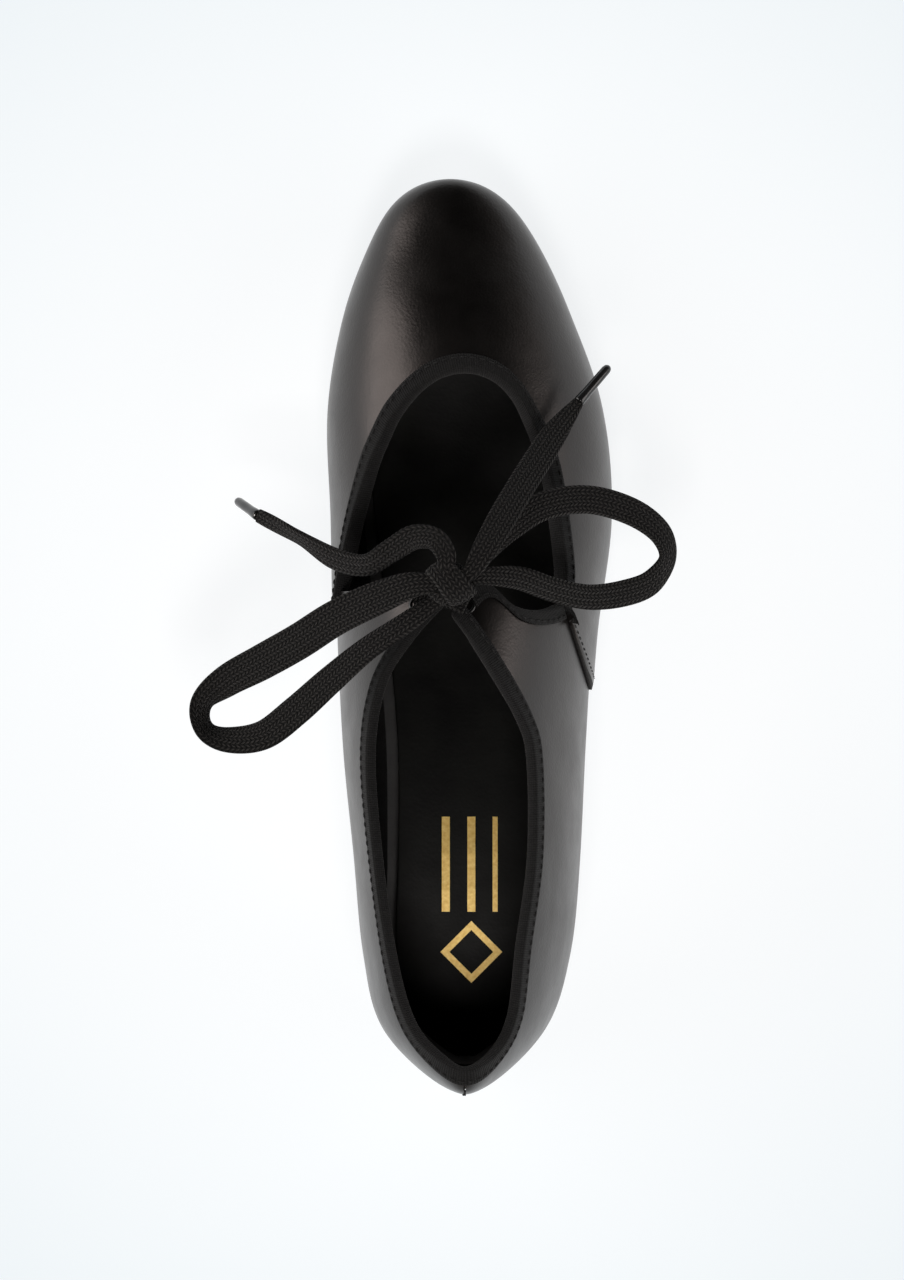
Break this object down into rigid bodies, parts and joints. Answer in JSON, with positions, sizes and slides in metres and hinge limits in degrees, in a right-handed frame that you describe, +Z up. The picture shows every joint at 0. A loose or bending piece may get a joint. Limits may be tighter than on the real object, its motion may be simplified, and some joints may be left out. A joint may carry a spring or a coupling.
{
  "type": "tap shoe",
  "caption": "Low-heeled black tie tap shoe for the right foot, with a U-shaped vamp opening, a bow over the instep, metal toe and heel taps and a flexing ball.",
  "frame": {"origin": "on the floor, under the middle of the shoe's length and width", "axes": "+Y towards the toe, +X towards the little-toe side, +Z up from the floor"},
  "size_m": [0.1321, 0.2488, 0.0919],
  "materials": {
    "upper": "smooth black coated leather with a soft satin sheen",
    "lining": "black brushed textile",
    "binding": "black woven binding tape, sewn along its edge",
    "lace": "black flat braided lace",
    "aglet": "glossy black plastic",
    "eyelet": "small bright metal eyelet",
    "insock": "thin black insock",
    "foil": "stamped gold foil",
    "insole_board": "pressed fibre board",
    "filler": "cork and foam filler",
    "outsole": "dark buffed sole leather with a black edge",
    "heel": "black moulded heel",
    "top_lift": "black rubber top lift",
    "board": "hard fibre board",
    "tap": "buffed aluminium with fine scratches",
    "fasteners": "plain steel"
  },
  "bodies": {
    "rear": {"outsole_rear": "outsole", "heel_block": "heel", "heel_top_lift": "top_lift", "heel_tap": "tap", "heel_tap_screws": "fasteners", "heel_nails": "fasteners", "bottom_filler_rear": "filler", "shank": "fasteners", "shank_rivets": "fasteners", "insole_rear": "insole_board", "heel_pad": "filler", "insock_rear": "insock", "insock_foil": "foil", "heel_counter": "insole_board", "quarter_medial": "upper", "quarter_lateral": "upper", "quarter_lining_medial": "lining", "quarter_lining_lateral": "lining", "vamp_wing_medial": "upper", "vamp_wing_lateral": "upper", "vamp_lining_wing_medial": "lining", "vamp_lining_wing_lateral": "lining", "topline_binding": "binding", "tab_binding_medial": "binding", "tab_binding_lateral": "binding", "throat_binding_medial": "binding", "throat_binding_lateral": "binding", "eyelet_medial": "eyelet", "eyelet_lateral": "eyelet", "lace_bridge": "lace", "lace_knot": "lace", "lace_loop_medial": "lace", "lace_loop_lateral": "lace", "lace_end_medial": "lace", "lace_end_lateral": "lace", "aglet_medial": "aglet", "aglet_lateral": "aglet"},
    "forepart": {"outsole_forepart": "outsole", "toe_tap": "tap", "toe_tap_board": "board", "toe_tap_screws": "fasteners", "bottom_filler_forepart": "filler", "insole_forepart": "insole_board", "insock_forepart": "insock", "toe_puff": "insole_board", "vamp_forepart": "upper", "vamp_lining_forepart": "lining", "throat_binding_forepart": "binding"}
  },
  "joints": [
    {"name": "ball_flex", "type": "hinge", "parent": "rear", "child": "forepart", "pos_m": [0, 0.047, 0.0034], "axis": [1, 0, 0], "range_deg": [0, 25], "stiffness_Nm_per_rad": 3}
  ]
}
